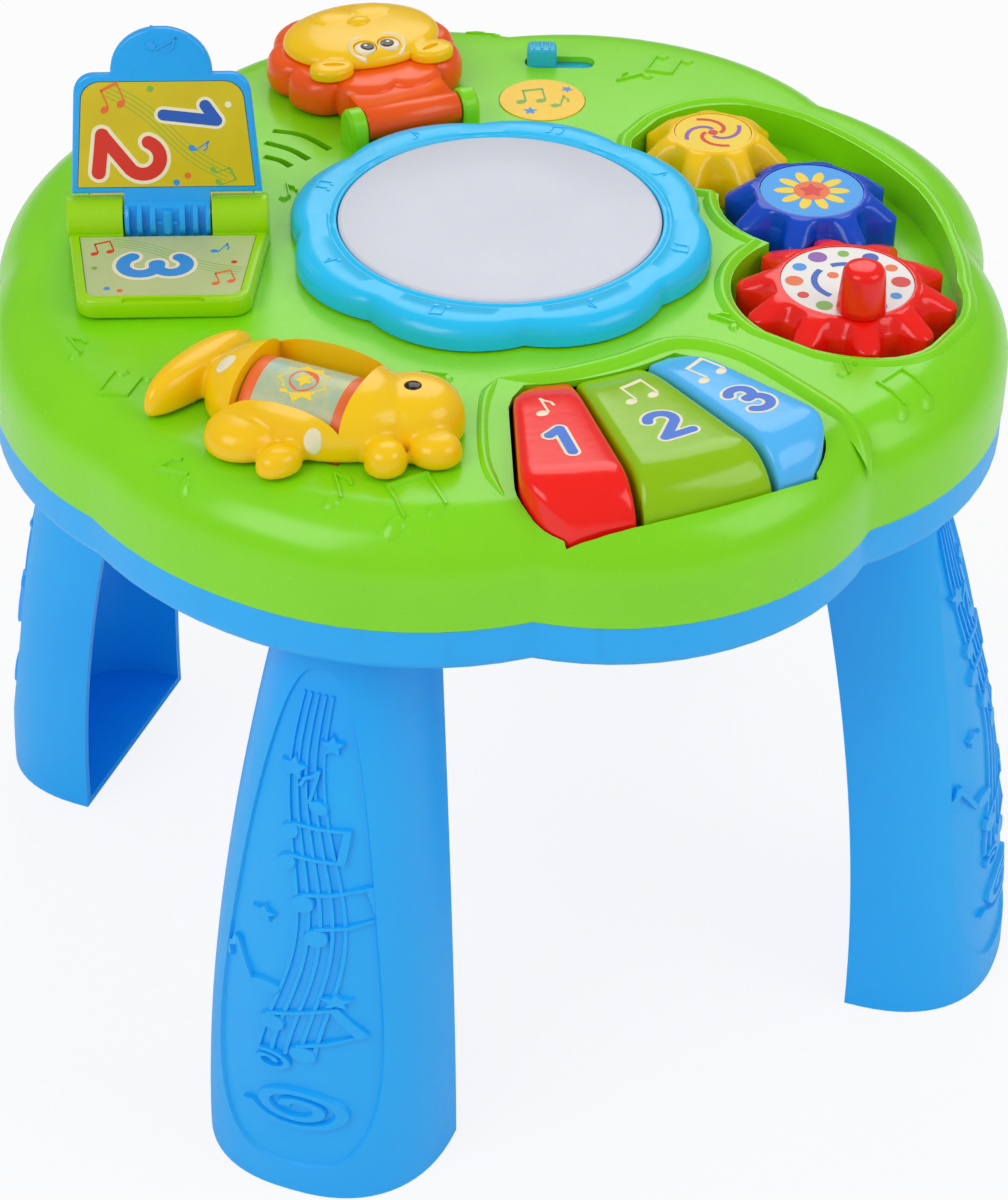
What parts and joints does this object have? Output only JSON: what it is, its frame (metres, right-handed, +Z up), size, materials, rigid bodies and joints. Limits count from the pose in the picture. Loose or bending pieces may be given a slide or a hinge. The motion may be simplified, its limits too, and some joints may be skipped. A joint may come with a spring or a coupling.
{
  "type": "toddler activity table",
  "caption": "Round lobed play table on splayed channel legs, with a drum pad, piano keys, meshing gears, a page-turning book, a flip-up lion and a picture roller.",
  "frame": {"origin": "on the floor, below the middle of the deck's bounding box", "axes": "+Z up, -Y towards the user at the piano keys and the animal, +X to the user's right"},
  "size_m": [0.3996, 0.3996, 0.3562],
  "materials": {
    "green_plastic": "glossy injection-moulded ABS",
    "blue_plastic": "glossy injection-moulded ABS",
    "cyan_plastic": "glossy injection-moulded ABS",
    "drum_plastic": "translucent milky ABS",
    "red_plastic": "glossy injection-moulded ABS",
    "lime_plastic": "glossy injection-moulded ABS",
    "light_blue_plastic": "glossy injection-moulded ABS",
    "deep_blue_plastic": "glossy injection-moulded ABS",
    "yellow_plastic": "glossy injection-moulded ABS",
    "orange_plastic": "glossy injection-moulded ABS",
    "pale_green_plastic": "printed ABS drum",
    "black_plastic": "glossy black ABS",
    "white_disc": "gloss white plastic disc",
    "gold_card": "printed laminated sheet",
    "pale_green_card": "printed laminated sheet",
    "steel": "zinc-plated steel",
    "cell": "wrapped steel-cased AA cell",
    "board": "solder-masked board",
    "soft_rubber": "silicone rubber",
    "speaker": "black paper cone on a steel magnet"
  },
  "bodies": {
    "table": {"top_shell": "green_plastic", "base_shell": "blue_plastic", "leg_front": "blue_plastic", "leg_right": "blue_plastic", "leg_rear": "blue_plastic", "leg_left": "blue_plastic", "battery_door": "blue_plastic", "door_screw": "steel", "case_screw_1": "steel", "case_screw_2": "steel", "case_screw_3": "steel", "case_screw_4": "steel", "cell_1": "cell", "cell_2": "cell", "cell_3": "cell", "contact_front": "steel", "contact_rear": "steel", "main_board": "board", "key_board": "board", "switch_board": "board", "drum_dome": "soft_rubber", "key_mat": "soft_rubber", "speaker": "speaker", "drum_ring": "cyan_plastic", "key_pin_red": "steel", "key_pin_lime": "steel", "key_pin_blue": "steel", "gear_screw_red": "steel", "gear_screw_blue": "steel", "gear_screw_yellow": "steel", "book_base": "lime_plastic", "book_pin": "steel", "book_card_front": "pale_green_card", "book_card_rear": "gold_card", "lion_pin": "steel", "animal_body": "yellow_plastic", "animal_eye": "black_plastic", "label_disc": "yellow_plastic"},
    "drum": {"drum_pad": "drum_plastic"},
    "red_key": {"key_red": "red_plastic"},
    "lime_key": {"key_lime": "lime_plastic"},
    "blue_key": {"key_blue": "light_blue_plastic"},
    "red_gear": {"gear_red": "red_plastic", "gear_knob": "red_plastic", "gear_disc_red": "white_disc"},
    "blue_gear": {"gear_blue": "deep_blue_plastic", "gear_disc_blue": "light_blue_plastic"},
    "yellow_gear": {"gear_yellow": "yellow_plastic", "gear_disc_yellow": "yellow_plastic"},
    "page": {"book_leaf": "cyan_plastic", "leaf_card_front": "gold_card", "leaf_card_rear": "pale_green_card"},
    "lion": {"lion_mane": "orange_plastic", "lion_face": "yellow_plastic", "lion_eye_left": "white_disc", "lion_eye_right": "white_disc"},
    "picture_roller": {"roller": "pale_green_plastic"},
    "switch": {"switch_knob": "cyan_plastic"}
  },
  "joints": [
    {"name": "drum_press", "type": "slide", "parent": "table", "child": "drum", "axis": [0, 0, -1], "range_m": [0, 0.0015], "stiffness_N_per_m": 1500, "springref_m": -0.001},
    {"name": "key_red_press", "type": "hinge", "parent": "table", "child": "red_key", "pos_m": [0.01346, -0.08696, 0.264], "axis": [0.9882, 0.153, 0], "range_deg": [0, 3.5], "stiffness_Nm_per_rad": 1, "springref_deg": -3.44},
    {"name": "key_lime_press", "type": "hinge", "parent": "table", "child": "lime_key", "pos_m": [0.03509, -0.0807, 0.264], "axis": [0.9171, 0.3987, 0], "range_deg": [0, 3.5], "stiffness_Nm_per_rad": 1, "springref_deg": -3.44},
    {"name": "key_blue_press", "type": "hinge", "parent": "table", "child": "blue_key", "pos_m": [0.05296, -0.07028, 0.264], "axis": [0.7986, 0.6018, 0], "range_deg": [0, 3.5], "stiffness_Nm_per_rad": 1, "springref_deg": -3.44},
    {"name": "gear_red_spin", "type": "hinge", "parent": "table", "child": "red_gear", "pos_m": [0.1205, -0.031, 0.2631], "axis": [0, 0, 1], "continuous": true},
    {"name": "gear_blue_spin", "type": "hinge", "parent": "table", "child": "blue_gear", "pos_m": [0.11238, 0.02984, 0.2631], "axis": [0, 0, 1], "continuous": true},
    {"name": "gear_yellow_spin", "type": "hinge", "parent": "table", "child": "yellow_gear", "pos_m": [0.07842, 0.06809, 0.2631], "axis": [0, 0, 1], "continuous": true},
    {"name": "page_turn", "type": "hinge", "parent": "table", "child": "page", "pos_m": [-0.1165, -0.003, 0.287], "axis": [0.9989, 0.0471, 0], "range_deg": [-82, 97]},
    {"name": "lion_flip", "type": "hinge", "parent": "table", "child": "lion", "pos_m": [-0.03371, 0.07716, 0.2845], "axis": [0.9164, 0.4003, 0], "range_deg": [0, 95]},
    {"name": "roller_spin", "type": "hinge", "parent": "table", "child": "picture_roller", "pos_m": [-0.0612, -0.11625, 0.2775], "axis": [-0.9178, 0.3971, 0], "continuous": true},
    {"name": "switch_slide", "type": "slide", "parent": "table", "child": "switch", "axis": [1, 0, 0], "range_m": [0, 0.014]}
  ],
  "couplings": [
    {"joint": "gear_blue_spin", "follows": "gear_red_spin", "ratio": -1.25},
    {"joint": "gear_yellow_spin", "follows": "gear_red_spin", "ratio": 1.4286}
  ]
}
